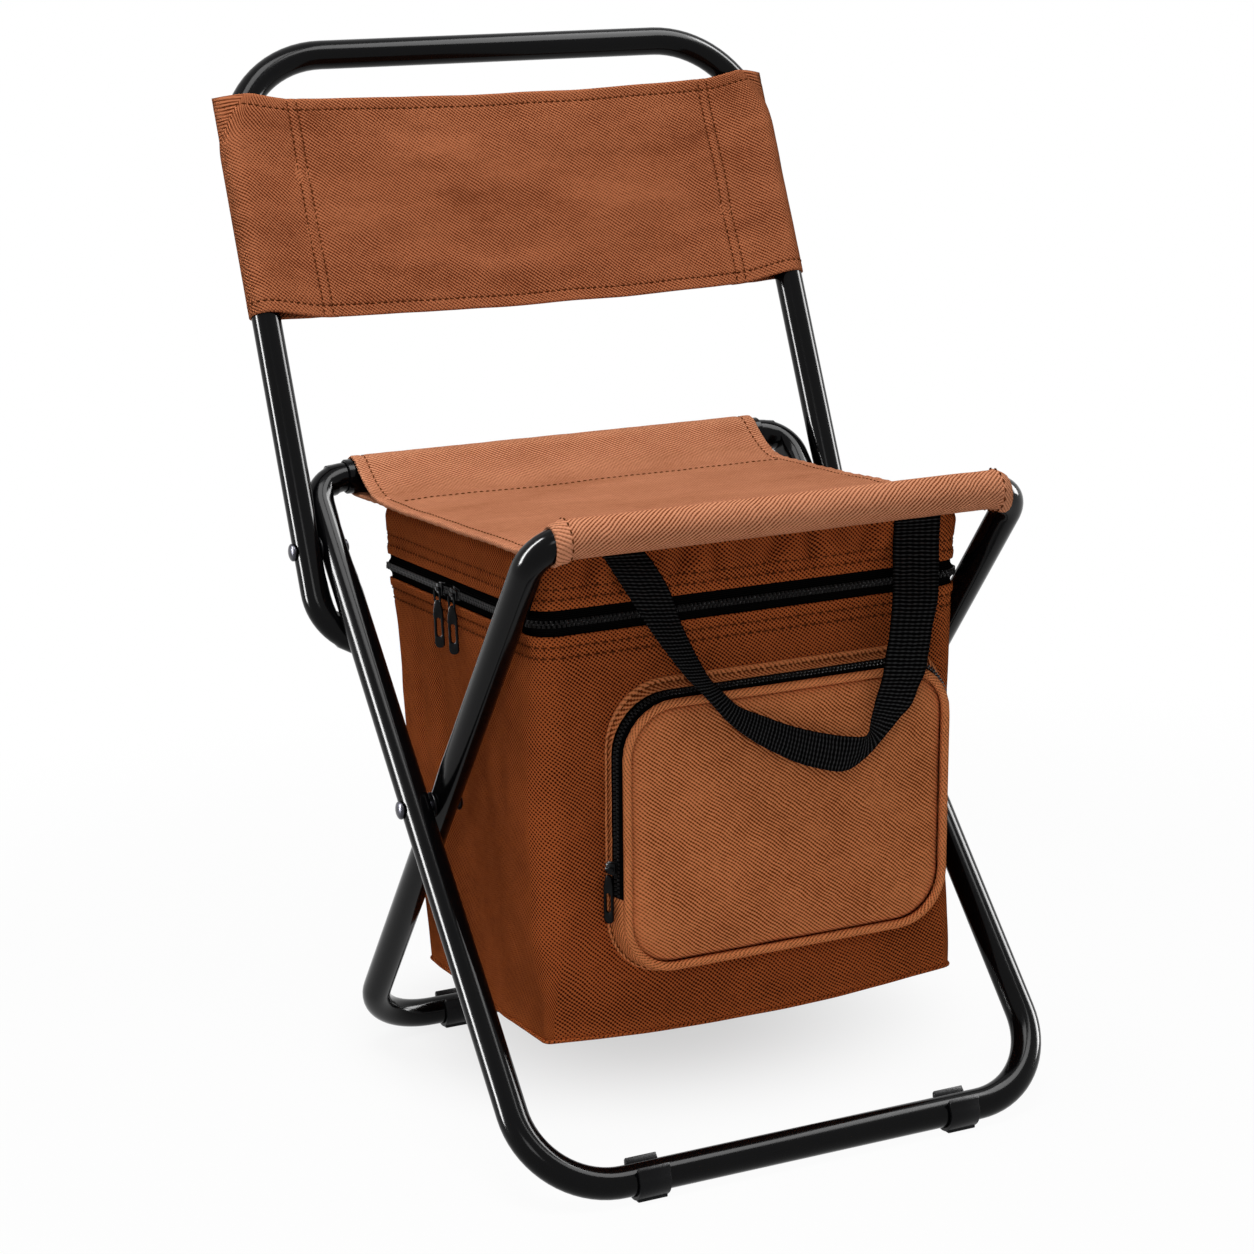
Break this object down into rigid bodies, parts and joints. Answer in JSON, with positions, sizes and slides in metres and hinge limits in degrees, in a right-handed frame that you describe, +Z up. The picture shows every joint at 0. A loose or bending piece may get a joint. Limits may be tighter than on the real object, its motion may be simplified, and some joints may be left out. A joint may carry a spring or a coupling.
{
  "type": "folding cooler stool",
  "caption": "Folding stool on crossed bent-tube legs, with a cloth seat, a tipping backrest, and an insulated zipped bag with a front pocket and carrying strap under the seat.",
  "frame": {"origin": "On the floor under the middle of the stool's outline seen from above.", "axes": "+Z is up, the front of the stool faces -Y, and +X is on the right of someone looking at its front."},
  "size_m": [0.3434, 0.3648, 0.5675],
  "materials": {
    "tube": "gloss",
    "steel": "satin",
    "plastic": "satin",
    "cloth": "matte",
    "webbing": "matte",
    "zip": "satin",
    "foam": "matte",
    "liner": "gloss"
  },
  "bodies": {
    "outer_leg_frame": {"outer_leg_tube": "tube", "rear_seat_rail": "tube", "front_foot_left": "plastic", "front_foot_right": "plastic", "leg_rivet_left": "steel", "leg_rivet_right": "steel", "leg_washer_left": "plastic", "leg_washer_right": "plastic", "backrest_rivet_left": "steel", "backrest_rivet_right": "steel", "backrest_washer_left": "plastic", "backrest_washer_right": "plastic", "seat_sling": "cloth"},
    "inner_leg_frame": {"inner_leg_tube": "tube", "front_rail_joiner": "steel", "rear_foot_left": "plastic", "rear_foot_right": "plastic"},
    "backrest": {"backrest_tube": "tube", "backrest_end_plug_left": "plastic", "backrest_end_plug_right": "plastic", "backrest_sling": "cloth"},
    "bag_lid": {"lid_band": "cloth", "lid_foam": "foam", "lid_liner": "liner", "zip_tape_upper": "zip"},
    "bag_body": {"bag_shell": "cloth", "insulation_foam": "foam", "foil_liner": "liner", "zip_tape_lower": "zip", "pocket_gusset": "cloth"},
    "pocket_flap": {"pocket_panel": "cloth", "pocket_zip_tape": "zip", "pocket_piping": "cloth"},
    "strap_loop": {"carry_strap": "webbing"},
    "front_slider": {"main_zip_front_slider": "steel"},
    "front_pull": {"main_zip_front_pull": "plastic"},
    "rear_slider": {"main_zip_rear_slider": "steel"},
    "rear_pull": {"main_zip_rear_pull": "plastic"},
    "pocket_runner": {"pocket_zip_slider": "steel"},
    "pocket_tab": {"pocket_zip_pull": "plastic"}
  },
  "joints": [
    {"name": "leg_fold", "type": "hinge", "parent": "outer_leg_frame", "child": "inner_leg_frame", "pos_m": [0, -0.02825, 0.175], "axis": [-1, 0, 0], "range_deg": [0, 73], "deforming": ["seat_sling"]},
    {"name": "bag_follow", "type": "hinge", "parent": "outer_leg_frame", "child": "bag_lid", "pos_m": [0, -0.02825, 0.175], "axis": [-1, 0, 0], "range_deg": [0, 36.5]},
    {"name": "backrest_fold", "type": "hinge", "parent": "outer_leg_frame", "child": "backrest", "pos_m": [0, 0.07652, 0.29724], "axis": [1, 0, 0], "range_deg": [0, 76]},
    {"name": "bag_open", "type": "hinge", "parent": "bag_lid", "child": "bag_body", "pos_m": [0, 0.07925, 0.2844], "axis": [1, 0, 0], "range_deg": [0, 15]},
    {"name": "pocket_open", "type": "hinge", "parent": "bag_body", "child": "pocket_flap", "pos_m": [0, -0.12754, 0.10432], "axis": [1, 0, 0], "range_deg": [0, 30]},
    {"name": "strap_swing", "type": "hinge", "parent": "bag_lid", "child": "strap_loop", "pos_m": [0, -0.1457, 0.3175], "axis": [-1, 0, 0], "range_deg": [0, 60]},
    {"name": "front_slider_run", "type": "slide", "parent": "bag_body", "child": "front_slider", "axis": [-0.0139, -0.9999, 0], "range_m": [0, 0.06]},
    {"name": "front_pull_sway", "type": "hinge", "parent": "front_slider", "child": "front_pull", "pos_m": [-0.118, -0.03125, 0.27685], "axis": [1, 0, 0], "range_deg": [-35, 10]},
    {"name": "rear_slider_run", "type": "slide", "parent": "bag_body", "child": "rear_slider", "axis": [0.0139, 0.9999, 0], "range_m": [0, 0.045]},
    {"name": "rear_pull_sway", "type": "hinge", "parent": "rear_slider", "child": "rear_pull", "pos_m": [-0.118, -0.01025, 0.27685], "axis": [1, 0, 0], "range_deg": [-10, 35]},
    {"name": "pocket_slider_run", "type": "slide", "parent": "bag_body", "child": "pocket_runner", "axis": [0, -0.0879, 0.9961], "range_m": [0, 0.06]},
    {"name": "pocket_pull_sway", "type": "hinge", "parent": "pocket_runner", "child": "pocket_tab", "pos_m": [-0.0833, -0.13011, 0.15374], "axis": [1, 0, 0], "range_deg": [-50, 0]}
  ],
  "couplings": [
    {"joint": "bag_follow", "follows": "leg_fold", "ratio": 0.5},
    {"joint": "strap_swing", "follows": "pocket_open", "ratio": 2}
  ]
}
